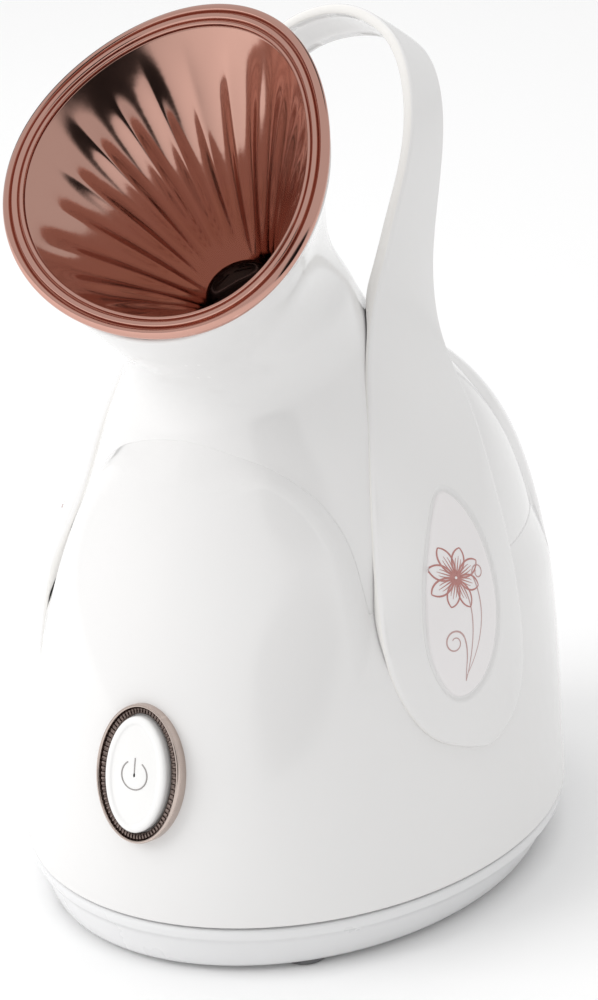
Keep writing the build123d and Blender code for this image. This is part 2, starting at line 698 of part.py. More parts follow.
NODES = {
    "main_shell": make_main_shell,
    "neck_hood": make_neck_hood,
    "base_tray": make_base_tray,
    "feet": make_feet,
    "base_screws": make_base_screws,
    "cord_gland": make_cord_gland,
    "handle": make_handle,
    "badge_right": lambda: make_badge(1),
    "badge_left": lambda: make_badge(-1),
    "handle_screws": make_handle_screws,
    "nozzle_funnel": make_funnel,
    "nozzle_trim_ring": make_trim_ring,
    "steam_duct": make_steam_duct,
    "steam_outlet": make_steam_outlet,
    "outlet_seal": make_outlet_seal,
    "ion_electrode": make_ion_electrode,
    "water_tank": make_water_tank,
    "tank_seal": make_tank_seal,
    "tank_lid": make_tank_lid,
    "duct_seal": make_duct_seal,
    "heater_housing": make_heater_housing,
    "heater_plate": make_heater_plate,
    "heater_element": make_heater_element,
    "thermostat": make_thermostat,
    "thermal_fuse": make_thermal_fuse,
    "inner_frame": make_inner_frame,
    "ion_generator": make_ion_generator,
    "power_wires": make_power_wires,
    "button_bezel": make_button_bezel,
    "light_ring": make_light_ring,
    "button_cap": make_button_cap,
    "switch_plunger": make_switch_plunger,
    "button_spring": make_button_spring,
    "push_switch": make_push_switch,
    "control_board": make_control_board,
    "status_leds": make_status_leds,
    "board_screws": make_board_screws,
}

shapes = {name: make() for name, make in NODES.items()}
low_y = min(shape.bounding_box().min.Y for shape in shapes.values())
high_y = max(shape.bounding_box().max.Y for shape in shapes.values())
lift = Pos(0, -(low_y + high_y) / 2, FOOT_HEIGHT)
print("shift along Y", round(-(low_y + high_y) / 2, 4))
for name, shape in shapes.items():
    solids = shape.solids()
    export_step(lift * (Compound(solids) if len(solids) > 1 else solids[0]), "parts/" + name + ".step")
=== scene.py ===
import json
import math

import bpy
import numpy as np
from mathutils import Matrix, Vector
from mathutils.bvhtree import BVHTree


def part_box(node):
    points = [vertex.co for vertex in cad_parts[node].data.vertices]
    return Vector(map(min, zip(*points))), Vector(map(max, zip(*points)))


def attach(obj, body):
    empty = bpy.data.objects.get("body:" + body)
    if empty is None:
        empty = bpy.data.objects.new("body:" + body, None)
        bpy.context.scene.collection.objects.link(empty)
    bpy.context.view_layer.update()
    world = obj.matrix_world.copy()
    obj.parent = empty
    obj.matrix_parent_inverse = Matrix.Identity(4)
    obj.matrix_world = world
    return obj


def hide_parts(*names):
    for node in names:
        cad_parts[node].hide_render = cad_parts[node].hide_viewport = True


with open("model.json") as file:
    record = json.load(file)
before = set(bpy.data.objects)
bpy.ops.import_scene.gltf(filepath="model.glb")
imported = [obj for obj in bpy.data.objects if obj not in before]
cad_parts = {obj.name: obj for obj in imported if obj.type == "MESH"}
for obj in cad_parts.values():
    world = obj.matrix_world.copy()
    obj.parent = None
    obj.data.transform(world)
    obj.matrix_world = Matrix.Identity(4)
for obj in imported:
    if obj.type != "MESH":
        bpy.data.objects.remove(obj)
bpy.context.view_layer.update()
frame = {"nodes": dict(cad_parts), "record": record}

# Looks of the facial steamer. Outlines are in millimetres from the underside of the base tray, as in the
# CAD source, with finer sections on the visible pieces; spot() puts them into the frame, in metres.
# The housing's outlines, the handle's stations, the badge's outline, the nozzle's place and the camera's
# values were fitted outside this script, then rounded.
tray_low, tray_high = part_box("base_tray")
ORIGIN = np.array([0, (tray_low.y + tray_high.y) / 2, tray_low.z])

# ---- housing -----------------------------------------------------------------------------------
FRONT_LINE = [(-85, 14), (-83.5, 30), (-77, 60), (-67, 90), (-55, 114), (-49, 133),
              (-47, 148), (-52, 158), (-59, 164), (-70.5, 175), (-74.1, 178.5)]
BACK_LINE = [(85, 14), (88, 30), (89.5, 60), (85.5, 90), (76, 116), (56, 138),
             (30, 158), (14, 176), (1.5, 200), (-11, 247.7), (-12.6, 253.7)]
HALF_WIDTH = [74, 72, 69.5, 65, 57, 47, 36, 34, 33.5, 46.5, 48.8]
BODY_SWELL = [0, 0, 0, 0.4, 0.8, 0.8, 0.8, 0.8, 0.8, 0.8, 0.8]
NECK_SINK = [2.5, 2.5, 2.5, 2.2, 1.9, 1.8, 1.5, 0.8, 0.4, 0.8, 0.8]
EGG_START = 8
NECK_WALL = 1.8
# Creases where the neck rises out of the body, as (x, z), carried on down beside the handle's petals.
FRONT_CREASE = [(0, 138), (9, 136.6), (17, 134), (24, 130.7), (31, 125), (36.5, 118.5), (41.4, 110.4),
                (45, 102), (48.3, 92.3), (51.2, 82), (53.6, 72)]
REAR_CREASE = [(0, 141), (12, 140.3), (24, 138), (38, 129), (46, 112), (52, 92), (55, 80)]
CREASE_FOOT = 92.0
SPLIT_Y = -12.0
# The front step is soft at the middle and turns crisp at a distance from it; the rear one is even.
STEP_WIDTH, STEP_NARROWER, STEP_FLANK_WIDER, REAR_STEP_WIDTH = 11.0, 8.4, 0.9, 4.0
STEP_CRISP_FROM, STEP_CRISP_OVER = 6.0, 18.0
STEP_FLANK_FROM, STEP_FLANK_OVER = 38.0, 10.0
STEP_DIP, STEP_DIP_REACH = 0.12, 0.22
STEP_FADE_ABOVE, STEP_FADE_OVER = 2.0, 20.0
SEAM_ROUND, SEAM_TUCK = 0.35, 1.6
CREASE_TUCK, CREASE_TUCK_STATIONS = 1.2, 0.02
NECK_TUCK, NECK_TUCK_STATIONS = 1.5, 0.12
LIP_ROLL = 0.55
LIP_GAP = 0.05
WEB_DEPTH, WEB_RADIUS = 13.0, 12.7
# Stations between which the creases, the rim and the web are looked for.
CREASE_STATIONS, RIM_STATIONS, WEB_STATIONS = (2.6, 6.2), (8.0, 9.9999), (5.0, 9.5)
# Base tray from its top down: height, half width, half length and shift towards the front.
TRAY_SECTION = [(13.3, 71.6, 82.8, 0), (13.25, 72.8, 84.0, 0), (13.0, 73.2, 84.4, 0), (12.5, 73.4, 84.6, 0),
                (11.5, 73.4, 84.6, 0), (10.4, 73.25, 84.45, 0), (9.9, 73.1, 84.3, 0),
                (9.6, 72.7, 83.9, -0.05), (9.2, 72.0, 83.3, -0.1), (7.5, 71.0, 82.6, -0.35),
                (4.0, 69.2, 81.4, -0.9), (1.4, 67.9, 80.3, -1.3), (0.5, 67.2, 79.7, -1.45),
                (0.05, 66.0, 78.5, -1.5), (0.0, 40, 50, -1.5), (0.0, 2.0, 2.5, -1.5)]

# ---- handle ------------------------------------------------------------------------------------
# From the right tip to the top: front edge, rear edge, rise of the outer face over its chord, thickness.
HANDLE_STATIONS = [
    ((70.1, -13.8, 47.5), (70.4, -11.2, 47.6), 0.1, 4.6),
    ((69.5, -17.0, 48.3), (71.0, -7.1, 48.3), 0.5, 6.0),
    ((67.1, -24.5, 51.4), (71.3, -0.1, 51.8), 1.6, 7.0),
    ((62.5, -33.9, 59.1), (70.7, 6.9, 59.5), 4.0, 9.0),
    ((56.6, -39.0, 74.3), (69.0, 10.6, 75.0), 5.7, 10.0),
    ((52.4, -37.3, 91.6), (65.9, 12.6, 92.0), 6.0, 10.0),
    ((46.9, -29.5, 108.7), (60.6, 14.8, 110.3), 6.2, 9.0),
    ((43.2, -22.4, 127.0), (52.8, 19.6, 127.4), 5.4, 8.5),
    ((37.9, -12.6, 146.4), (44.8, 24.8, 137.8), 3.4, 7.0),
    ((33.9, -1.3, 162.4), (37.2, 30.0, 148.5), 1.5, 4.4),
    ((32.6, 9.2, 174.6), (33.2, 34.6, 161.5), 0.8, 3.6),
    ((31.2, 18.4, 184.0), (31.2, 40.6, 174.0), 0.4, 3.2),
    ((30.4, 28.2, 196.5), (30.4, 47.0, 189.0), 0.3, 3.0),
    ((28.2, 35.9, 209.5), (28.2, 53.4, 202.6), 0.3, 3.0),
    ((22.6, 42.6, 221.4), (22.6, 59.9, 213.0), 0.3, 3.0),
    ((13.4, 47.3, 229.2), (13.4, 64.9, 219.0), 0.3, 3.0),
    ((0.0, 49.4, 232.4), (0.0, 67.4, 221.2), 0.3, 3.0),
]
HANDLE_GAP = 0.45
HANDLE_ROUND = 1.1
HANDLE_LEAST_EDGE = 0.4
# The rows are close together up to the height where the badges end.
FINE_PITCH, COARSE_PITCH, FINE_BELOW = 0.42, 1.3, 119.0
BACK_SETBACK, BACK_EASE = 1.6, 0.35
# Depth given to an edge point that has no housing under it.
NOT_MET = 99.0
# In metres: how far over the edge a ray starts and how far it looks.
RAY_START, RAY_REACH = 0.002, 0.03
BADGE_OUTLINE = [(-7.8, 118.2), (-12.8, 115.4), (-18.2, 107.6), (-24.8, 96.5), (-28.9, 84.0), (-28.3, 72.5),
                 (-22.8, 64.8), (-12.4, 68.0), (-4.8, 77.4), (-1.2, 88.0), (-0.6, 100.0), (-2.8, 110.8)]
BADGE_MIDDLE = (-14, 90)
BADGE_DEPTH = 0.7
BADGE_GAP = 0.3
POCKET_REACH, POCKET_WALL = 0.95, 0.8
BADGE_SINK = 0.34

# ---- nozzle ------------------------------------------------------------------------------------
RIM_CENTRE = (-40.64, 211.42)
RIM_TILT = math.radians(39.43)
RIM_RADIUS = 43.8
RIM_SADDLE_SINK = 3.54
HOOD_CLEARANCE = 2.3
THROAT_CENTRE = (-13.0, 169.5)
THROAT_RADIUS = 9.2
COLLAR_LENGTH = 12.0
FUNNEL_WALL = 1.3
RIM_INNER_RADIUS = 41.0
FUNNEL_BOW = 2.0
FLUTES = 20
FLUTE_DEPTH = 1.9
FLUTE_LEVEL, FLUTE_SOFT = 0.75, 0.05
# Shares of the way from throat to rim: the flutes rise up to the first and fade from the second on.
FLUTE_RISE, FLUTE_FADE = 0.4, 0.66
COLLAR_OUTER = 10.75
# Section of the rolled trim ring: offset from the rim radius and height over the rim.
RING_SECTION = [(-2.95, -0.4), (-2.98, 0.35), (-2.75, 0.95), (-2.35, 1.15), (-1.95, 0.95), (-1.75, 0.45),
                (-1.55, 0.4), (-1.4, 0.95), (-1.0, 1.5), (-0.45, 1.62), (0.1, 1.35), (0.35, 0.7),
                (0.55, 0.25), (0.75, 0.55), (1.0, 1.15), (1.55, 1.58), (2.2, 1.33), (2.8, 0.86),
                (3.12, 0.3), (3.1, -0.5), (2.7, -1.2), (1.9, -1.65), (0.6, -1.8), (-1.0, -1.75),
                (-2.2, -1.45), (-2.8, -1.0)]

# ---- button ------------------------------------------------------------------------------------
BUTTON_CENTRE = (0, -78.6, 54.8)
BUTTON_LEAN = math.radians(15)
CAP_HALF = (9.5, 15.9)
# How much an oval's half height grows with its half width.
OVAL_GROWTH = 0.861
TEETH = 76
TOOTH_COLUMNS = 8
# Half width and height over the button's plane.
BEZEL_PROFILE = [(13.1, -1.8), (13.1, 1.2), (13.02, 1.6), (12.85, 1.95), (12.6, 2.12), (12.35, 2.1),
                 (12.15, 1.9), (12.05, 1.55), (11.98, 1.1), (11.9, 0.95), (10.2, 0.75), (9.95, 0.7),
                 (9.9, -2.5)]
BEZEL_BRIGHT_ROWS = 6
# Half width, height and height of the teeth.
LIGHT_RING_PROFILE = [(11.95, 0.9, 0), (11.85, 1.1, 0.12), (11.6, 1.2, 0.3), (10.75, 1.15, 0.45),
                      (10.35, 1.1, 0.3), (10.2, 0.95, 0), (10.1, 0.5, 0)]
# Half width, half height and height over the button's plane.
CAP_PROFILE = [(9.5, 15.9, -2.9), (9.5, 15.9, 2.1), (9.44, 15.84, 2.55), (9.25, 15.65, 2.95),
               (8.95, 15.35, 3.2), (8.5, 14.95, 3.33), (8.0, 14.4, 3.36), (7.6, 14.0, 3.33),
               (7.4, 13.8, 3.22), (7.2, 13.6, 3.12), (6.9, 13.2, 3.1), (5.5, 11.0, 3.18),
               (4.0, 8.0, 3.27), (2.5, 5.0, 3.32), (1.2, 2.4, 3.345), (0.3, 0.6, 3.35)]
SYMBOL_RADIUS, SYMBOL_HEIGHT, SYMBOL_LINE = 3.95, 3.24, 0.22
SYMBOL_GAP = 33

COLUMNS = 640


# ---- curves and frames ----------------------------------------------------------------------------
def natural_spline(values):
    """Natural cubic through values at 0, 1, 2, ... as a function of the station number."""
    knots = np.array(values, float)
    count = len(knots)
    matrix, right = np.eye(count), np.zeros_like(knots)
    for i in range(1, count - 1):
        matrix[i, i - 1:i + 2] = (1, 4, 1)
        right[i] = 6 * (knots[i - 1] - 2 * knots[i] + knots[i + 1])
    bend = np.linalg.solve(matrix, right)

    def at(u):
        u = np.asarray(u, float)
        i = np.clip(u.astype(int), 0, count - 2)
        t = u - i
        if knots.ndim == 2:
            t = t[..., None]
        line = knots[i] * (1 - t) + knots[i + 1] * t
        return line + ((t ** 3 - t) * bend[i + 1] + ((1 - t) ** 3 - (1 - t)) * bend[i]) / 6

    return at


front_at = natural_spline(FRONT_LINE)
back_at = natural_spline(BACK_LINE)
half_at = natural_spline(HALF_WIDTH)
swell_at = natural_spline(BODY_SWELL)
sink_at = natural_spline(NECK_SINK)


def smooth(t):
    """Eases from 0 to 1 with level ends."""
    t = np.clip(t, 0, 1)
    return t * t * (3 - 2 * t)


def egg(turn):
    """Growth of the rim's radius, with turn measured from the top of the rim."""
    return 1 - 0.015 * np.cos(turn) - 0.004 * np.cos(2 * turn) + 0.039 * np.cos(3 * turn)


def skin(u, turn, inset):
    """Points of the oval at station u, turn radians from its side point towards the back."""
    u, turn, inset = np.broadcast_arrays(np.asarray(u, float), turn, inset)
    front, back = front_at(u), back_at(u)
    span = np.linalg.norm(back - front, axis=-1)
    blend = smooth(u - EGG_START)
    swell = 1 + blend * (egg(math.pi / 2 - turn) - 1)
    reach = ((span / 2 - inset) * swell * np.sin(turn) / span)[..., None] * (back - front)
    middle = (front + back) / 2 + reach
    x = (half_at(u) - inset) * swell * np.cos(turn)
    return np.stack([x, middle[..., 0], middle[..., 1]], axis=-1)


def tilted(origin, normal_y, normal_z):
    """Frame of a plane across X: origin, X, its up direction and its normal."""
    normal = np.array([0, normal_y, normal_z])
    across = np.array([1.0, 0, 0])
    return np.array([0, *origin]), across, np.cross(normal, across), normal


rim_frame = tilted(RIM_CENTRE, -math.cos(RIM_TILT), math.sin(RIM_TILT))
pull = np.array(RIM_CENTRE) - np.array(THROAT_CENTRE)
pull = pull / np.linalg.norm(pull)
throat_frame = tilted(THROAT_CENTRE, *pull)
button_frame = tilted(BUTTON_CENTRE[1:], -math.cos(BUTTON_LEAN), math.sin(BUTTON_LEAN))


def in_frame(plane, x, y, z):
    """Points at local coordinates x, y, z of a tilted frame."""
    origin, across, up, normal = plane
    x, y, z = np.broadcast_arrays(np.asarray(x, float), y, z)
    return origin + x[..., None] * across + y[..., None] * up + z[..., None] * normal


def to_frame(plane, points):
    """Local coordinates of points in a tilted frame."""
    origin, across, up, normal = plane
    offset = points - origin
    return offset @ across, offset @ up, offset @ normal


def rim_point(turn, radius, height):
    """Points round the rim, which is egg-shaped and dips like a saddle."""
    reach = radius * egg(turn)
    lift = height - RIM_SADDLE_SINK * np.cos(2 * turn)
    return in_frame(rim_frame, reach * np.sin(turn), reach * np.cos(turn), lift)


def spot(points):
    """Outline coordinates in millimetres to frame coordinates in metres."""
    return np.asarray(points, float) / 1000 + ORIGIN


# ---- meshes -----------------------------------------------------------------------------------------
def mesh_piece(name, points, faces, material, body, replaces=()):
    """New piece from points in millimetres, riding on a body and standing for CAD nodes."""
    mesh = bpy.data.meshes.new(name)
    mesh.from_pydata(spot(points).tolist(), [], faces)
    mesh.materials.append(material)
    mesh.polygons.foreach_set("use_smooth", [True] * len(mesh.polygons))
    mesh.update()
    piece = bpy.data.objects.new(name, mesh)
    bpy.context.scene.collection.objects.link(piece)
    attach(piece, body)
    if replaces:
        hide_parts(*replaces)
    return piece


def grid_faces(rows, columns, around=True, rolled=False):
    """Quads of a grid of rows by columns, closed around its columns, and along its rows if rolled."""
    faces = []
    for i in range(rows if rolled else rows - 1):
        for k in range(columns if around else columns - 1):
            j, m = (i + 1) % rows, (k + 1) % columns
            faces.append((i * columns + k, i * columns + m, j * columns + m, j * columns + k))
    return faces


def grid_piece(name, grid, material, body, replaces=(), around=True, rolled=False, capped=False):
    """Piece from rows of points; capped closes the first and the last row with one face each."""
    grid = np.asarray(grid)
    rows, columns = grid.shape[:2]
    faces = grid_faces(rows, columns, around, rolled)
    if capped:
        faces.append(tuple(range(columns - 1, -1, -1)))
        faces.append(tuple((rows - 1) * columns + k for k in range(columns)))
    return mesh_piece(name, grid.reshape(-1, 3), faces, material, body, replaces)


def turn_outward(piece):
    """Makes every face of a closed piece look outwards."""
    bpy.ops.object.select_all(action="DESELECT")
    piece.select_set(True)
    bpy.context.view_layer.objects.active = piece
    bpy.ops.object.mode_set(mode="EDIT")
    bpy.ops.mesh.select_all(action="SELECT")
    bpy.ops.mesh.normals_make_consistent(inside=False)
    bpy.ops.object.mode_set(mode="OBJECT")


# ---- materials ----------------------------------------------------------------------------------------
def surface(name, colour, roughness, metallic=0.0, scale=60.0, tint=0.03, rough_swing=0.05, bump=0.02,
            bump_scale=900.0, edge_paling=0.0, coat=0.0, transmission=0.0, second=None):
    """Procedural surface: cloudy colour and gloss, fine bump, and colour paler on convex edges."""
    material = bpy.data.materials.new(name)
    material.use_nodes = True
    tree = material.node_tree
    nodes, links = tree.nodes, tree.links
    shader = nodes["Principled BSDF"]
    shader.inputs["Metallic"].default_value = metallic
    shader.inputs["Coat Weight"].default_value = coat
    shader.inputs["Coat Roughness"].default_value = 0.04
    shader.inputs["Transmission Weight"].default_value = transmission
    place = nodes.new("ShaderNodeTexCoord")
    clouds = nodes.new("ShaderNodeTexNoise")
    clouds.inputs["Scale"].default_value = scale
    clouds.inputs["Detail"].default_value = 5
    links.new(place.outputs["Object"], clouds.inputs["Vector"])
    paint = nodes.new("ShaderNodeMix")
    paint.data_type = "RGBA"
    dark = second or [c * (1 - tint) for c in colour]
    paint.inputs["A"].default_value = (*dark, 1)
    paint.inputs["B"].default_value = (*colour, 1)
    links.new(clouds.outputs["Fac"], paint.inputs["Factor"])
    colour_out = paint.outputs["Result"]
    # Colour turns paler on convex edges, going by the mesh's pointiness.
    if edge_paling:
        shape = nodes.new("ShaderNodeNewGeometry")
        edge = nodes.new("ShaderNodeMapRange")
        edge.inputs["From Min"].default_value = 0.53
        edge.inputs["From Max"].default_value = 0.62
        edge.inputs["To Max"].default_value = edge_paling
        links.new(shape.outputs["Pointiness"], edge.inputs["Value"])
        paled_edge_colour = nodes.new("ShaderNodeMix")
        paled_edge_colour.data_type = "RGBA"
        paled_edge_colour.inputs["B"].default_value = (*[min(1, c * 1.15 + 0.04) for c in colour], 1)
        links.new(edge.outputs["Result"], paled_edge_colour.inputs["Factor"])
        links.new(colour_out, paled_edge_colour.inputs["A"])
        colour_out = paled_edge_colour.outputs["Result"]
    links.new(colour_out, shader.inputs["Base Color"])
    gloss = nodes.new("ShaderNodeMapRange")
    gloss.inputs["To Min"].default_value = max(0.01, roughness - rough_swing)
    gloss.inputs["To Max"].default_value = roughness + rough_swing
    links.new(clouds.outputs["Fac"], gloss.inputs["Value"])
    links.new(gloss.outputs["Result"], shader.inputs["Roughness"])
    grain = nodes.new("ShaderNodeTexNoise")
    grain.inputs["Scale"].default_value = bump_scale
    grain.inputs["Detail"].default_value = 3
    links.new(place.outputs["Object"], grain.inputs["Vector"])
    relief = nodes.new("ShaderNodeBump")
    relief.inputs["Strength"].default_value = bump
    relief.inputs["Distance"].default_value = 0.0004
    links.new(grain.outputs["Fac"], relief.inputs["Height"])
    links.new(relief.outputs["Normal"], shader.inputs["Normal"])
    return material


PEARL = (0.81, 0.802, 0.796)
pearl = surface("pearl_plastic", PEARL, 0.16, scale=25, tint=0.015, rough_swing=0.03, bump=0.03,
                bump_scale=350, edge_paling=0.4, coat=0.6)
cream = surface("pearl_edge", (0.83, 0.815, 0.79), 0.24, scale=30, tint=0.02, bump=0.03, bump_scale=350,
                coat=0.3)
# Near-black colour painted as shade on the handle's undersides, in the gap where it lies close to the
# housing.
painted_gap_shade = surface("painted_gap_shade", (0.03, 0.03, 0.032), 0.6, scale=200, tint=0.3)
rose = surface("rose_gold", (0.60, 0.34, 0.28), 0.08, metallic=1.0, scale=40, tint=0.05, rough_swing=0.03,
               bump=0.02, bump_scale=260, edge_paling=0.5)
# The funnel's rose gold is the rim's metal with a rougher gloss, and its colour is painted a little darker as
# shade inside the funnel.
rose_shaded_flutes = surface("rose_gold_shaded_flutes", (0.56, 0.32, 0.26), 0.12, metallic=1.0, scale=55, tint=0.08,
                      rough_swing=0.05, bump=0.03, bump_scale=420, edge_paling=0.3)
smoke = surface("smoke_chrome", (0.24, 0.185, 0.165), 0.1, metallic=1.0, scale=90, tint=0.3, rough_swing=0.05,
                edge_paling=0.6)
bright = surface("bezel_edge", (0.62, 0.52, 0.47), 0.08, metallic=1.0, scale=120, tint=0.1, edge_paling=0.5)
cap_white = surface("button_white", (0.88, 0.875, 0.865), 0.2, scale=80, tint=0.01, rough_swing=0.04,
                    bump=0.03, coat=0.5)
symbol_grey = surface("symbol_grey", (0.36, 0.34, 0.33), 0.45, scale=300, tint=0.15)
badge_white = surface("badge_plastic", (0.85, 0.825, 0.825), 0.17, scale=60, tint=0.02, rough_swing=0.03,
                      coat=0.5)
print_rose = surface("flower_print", (0.42, 0.17, 0.15), 0.4, scale=900, second=(0.55, 0.28, 0.26))
print_stem = surface("stem_print", (0.45, 0.27, 0.26), 0.4, scale=900, second=(0.60, 0.42, 0.40))
tray_white = surface("tray_plastic", (0.80, 0.80, 0.805), 0.28, scale=30, tint=0.02, bump=0.03, coat=0.2)
grey = surface("grey_plastic", (0.48, 0.48, 0.49), 0.4, scale=70, tint=0.08, bump=0.12, bump_scale=1500)
black = surface("black_plastic", (0.022, 0.02, 0.02), 0.32, scale=90, tint=0.3, bump=0.12, bump_scale=1500,
                edge_paling=0.3)
rubber = surface("rubber_grey", (0.16, 0.16, 0.165), 0.7, scale=120, tint=0.2, bump=0.25, bump_scale=1800)
silicone = surface("silicone", (0.035, 0.025, 0.024), 0.5, scale=120, tint=0.2, bump=0.1)
steel = surface("steel", (0.60, 0.60, 0.61), 0.25, metallic=1.0, scale=150, tint=0.1, bump=0.08, edge_paling=0.5)
metal_bright = surface("aluminium", (0.75, 0.76, 0.77), 0.32, metallic=1.0, scale=90, tint=0.08, bump=0.1)
tank = surface("tank_clear", (0.75, 0.86, 0.92), 0.08, scale=60, tint=0.05, transmission=0.8)
board = surface("board_green", (0.02, 0.13, 0.06), 0.35, scale=140, tint=0.3, bump=0.1)
ceramic = surface("ceramic", (0.72, 0.68, 0.60), 0.5, scale=110, tint=0.12, bump=0.15)
led = surface("led", (0.92, 0.92, 0.78), 0.12, scale=100, tint=0.05, transmission=0.5)
spring_wire = surface("spring_steel", (0.5, 0.5, 0.51), 0.28, metallic=1.0, scale=200, tint=0.15, bump=0.05)
wire_red = surface("wire", (0.30, 0.03, 0.02), 0.45, scale=150, tint=0.2, bump=0.05)
clear_ring = surface("clear_ring", (0.42, 0.36, 0.33), 0.12, metallic=0.6, scale=150, tint=0.2)
SLOT_LOOKS = {
    "pearl_plastic": pearl, "rose_gold": rose, "smoke_chrome": smoke, "button_white": cap_white,
    "badge_plastic": badge_white, "clear_ring": clear_ring, "grey_plastic": grey, "black_plastic": black,
    "rubber_grey": rubber, "silicone": silicone, "steel": steel, "aluminium": metal_bright,
    "tank_clear": tank, "board_green": board, "ceramic": ceramic, "led": led,
    "spring_steel": spring_wire, "wire": wire_red,
}
for part in frame["record"]["subparts"]:
    node = frame["nodes"][part["node"]]
    node.data.materials.clear()
    node.data.materials.append(SLOT_LOOKS[part["material_slot"]])


# ---- housing: body and neck ------------------------------------------------------------------------
turns = np.linspace(-math.pi, math.pi, COLUMNS, endpoint=False) + math.pi / COLUMNS


def dense_line(points, per_span=24):
    """Crease as a chain of short straight runs."""
    at = natural_spline(points)
    return at(np.linspace(0, len(points) - 1, per_span * (len(points) - 1) + 1))


front_line, rear_line = dense_line(FRONT_CREASE), dense_line(REAR_CREASE)


def crease_height(x, line):
    """Height of a crease at a distance x from the middle, level past its foot."""
    height = np.interp(np.abs(x), line[:, 0], line[:, 1])
    return np.maximum(height, CREASE_FOOT)


def crossing(test, low, high, count=1500):
    """First station from low to high, for each column, where test(u) changes from negative to positive."""
    stations = np.linspace(low, high, count)[:, None]
    values = test(stations)
    first = np.argmax(values > 0, axis=0)
    first = np.clip(first, 1, count - 1)
    columns = np.arange(values.shape[1])
    before, after = values[first - 1, columns], values[first, columns]
    share = np.clip(-before / (after - before), 0, 1)
    return stations[first - 1, 0] + share * (stations[1, 0] - stations[0, 0])


def over_crease(u):
    """Height of the skin over the crease at station u."""
    points = skin(u, turns, sink_at(u))
    front_gap = points[..., 2] - crease_height(points[..., 0], front_line)
    rear_gap = points[..., 2] - crease_height(points[..., 0], rear_line)
    return np.where(points[..., 1] < SPLIT_Y, front_gap, rear_gap)


split = crossing(over_crease, *CREASE_STATIONS)


def distance_inside(points, line):
    """Distance in front projection from a crease, positive on its lower, inner side."""
    x, z = np.abs(points[..., 0]), points[..., 2]
    shape = x.shape
    flat = np.stack([x.ravel(), z.ravel()], axis=-1)
    best = np.full(len(flat), 1e9)
    for a, b in zip(line[:-1], line[1:]):
        along = b - a
        share = np.clip(((flat - a) @ along) / (along @ along), 0, 1)
        gap = np.linalg.norm(flat - (a + share[:, None] * along), axis=-1)
        best = np.minimum(best, gap)
    inside = flat[:, 1] < np.interp(flat[:, 0], line[:, 0], line[:, 1], right=-1e9)
    return np.where(inside, best, -best).reshape(shape)


def body_inset(u, points):
    """Inset of the body skin: level with the neck at a crease, and proud of it below the sloping step."""
    inset = sink_at(u) * np.ones(points.shape[:-1])
    x, z = np.abs(points[..., 0]), points[..., 2]
    in_front = points[..., 1] < SPLIT_Y
    gap = np.where(in_front, distance_inside(points, front_line), distance_inside(points, rear_line))
    middle = smooth((x - STEP_CRISP_FROM) / STEP_CRISP_OVER)
    flank = STEP_FLANK_WIDER * smooth((x - STEP_FLANK_FROM) / STEP_FLANK_OVER)
    width = np.where(in_front, STEP_WIDTH - STEP_NARROWER * middle + flank, REAR_STEP_WIDTH)
    crisp = np.where(in_front, middle, 1)
    t = gap / width
    ramp = np.clip(t, 0, 1) - STEP_DIP * np.exp(-((t - 1) / STEP_DIP_REACH) ** 2) * (t > 0)
    raised = crisp * ramp + (1 - crisp) * smooth(t)
    faded = smooth((CREASE_FOOT + STEP_FADE_ABOVE - z) / STEP_FADE_OVER)
    raised = np.maximum(raised, faded)
    return inset - (inset + swell_at(u)) * raised


def skin_rows(shares, low, high):
    """Stations at given shares of the way from low to high, for each column."""
    return low + (high - low) * np.asarray(shares)[:, None]


def build_body():
    """Body from the base seam to the creases, with the sloping step and a tucked-in rim."""
    shares = np.concatenate([np.linspace(0, 0.8, 70, endpoint=False), np.linspace(0.8, 1, 60)])
    u = skin_rows(shares, 0.0, split[None, :])
    rough = skin(u, turns, sink_at(u))
    inset = body_inset(u, rough)
    outer = skin(u, turns, inset)
    foot = np.zeros((1, COLUMNS))
    seam_round = [skin(foot, turns, SEAM_TUCK), skin(foot, turns, SEAM_ROUND)]
    seam_round[0][..., 2] += SEAM_ROUND
    outer[0, :, 2] += SEAM_ROUND
    tuck = skin(split[None, :] + CREASE_TUCK_STATIONS, turns, sink_at(split[None, :]) + CREASE_TUCK)
    grid = np.concatenate(seam_round + [outer, tuck])
    return grid_piece("housing_body", grid, pearl, "housing", ["main_shell"])


def build_neck():
    """Neck from just under the creases up to the rolled lip of the hood, and down inside to the web."""
    def over_rim(u):
        x, y, z = to_frame(rim_frame, skin(u, turns, sink_at(u)))
        saddle = -RIM_SADDLE_SINK * np.cos(2 * np.arctan2(x, y))
        return z - (saddle - HOOD_CLEARANCE - LIP_GAP)

    top = crossing(over_rim, *RIM_STATIONS)
    low = split - NECK_TUCK_STATIONS
    u = skin_rows(np.linspace(0, 1, 130), low[None, :], top[None, :])
    sunk = sink_at(u) + NECK_TUCK * smooth((split[None, :] - u) / NECK_TUCK_STATIONS)
    outer = skin(u, turns, sunk)
    lip = []
    for share in (0.15, 0.4, 0.6, 0.85):
        ring = skin(top[None, :], turns, sink_at(top[None, :]) + NECK_WALL * share)
        ring += LIP_ROLL * math.sin(math.pi * share) * rim_frame[3]
        lip.append(ring)

    def over_web(u):
        x, y, z = to_frame(throat_frame, skin(u, turns, sink_at(u) + NECK_WALL))
        return z + WEB_DEPTH

    web = crossing(over_web, *WEB_STATIONS)
    inner_u = skin_rows(np.linspace(1, 0, 40), web[None, :], top[None, :])
    inner = skin(inner_u, turns, sink_at(inner_u) + NECK_WALL)
    around = math.pi / 2 - turns
    disc = in_frame(throat_frame, WEB_RADIUS * np.sin(around), WEB_RADIUS * np.cos(around), -WEB_DEPTH)[None]
    grid = np.concatenate([outer] + lip + [inner, disc])
    return grid_piece("housing_neck", grid, pearl, "housing", ["neck_hood"])


body = build_body()
neck = build_neck()


